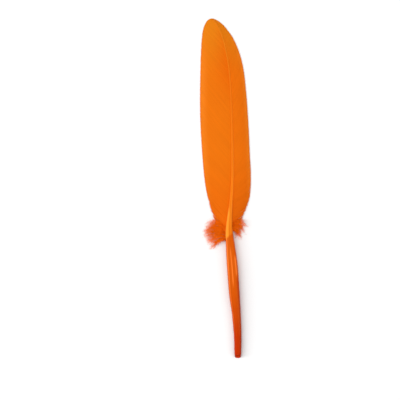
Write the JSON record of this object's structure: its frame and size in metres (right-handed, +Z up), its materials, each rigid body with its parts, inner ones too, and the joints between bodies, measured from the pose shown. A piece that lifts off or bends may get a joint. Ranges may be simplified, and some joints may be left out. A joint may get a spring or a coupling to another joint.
{
  "type": "goose quill feather",
  "caption": "Orange dyed goose quill feather lying flat: long satin vanes, a slim shaft, curled down and a bare glossy quill.",
  "frame": {"origin": "middle of the footprint, on the surface that the feather rests on", "axes": "+Y from the cut end of the quill to the tip, +Z up out of the vane's upper side, +X toward the narrow vane"},
  "size_m": [0.021, 0.1392, 0.0039],
  "materials": {
    "dyed_feather": "satin barbs on a glossy horn quill, dyed orange"
  },
  "bodies": {
    "root": {"feather": "dyed_feather"}
  },
  "joints": []
}
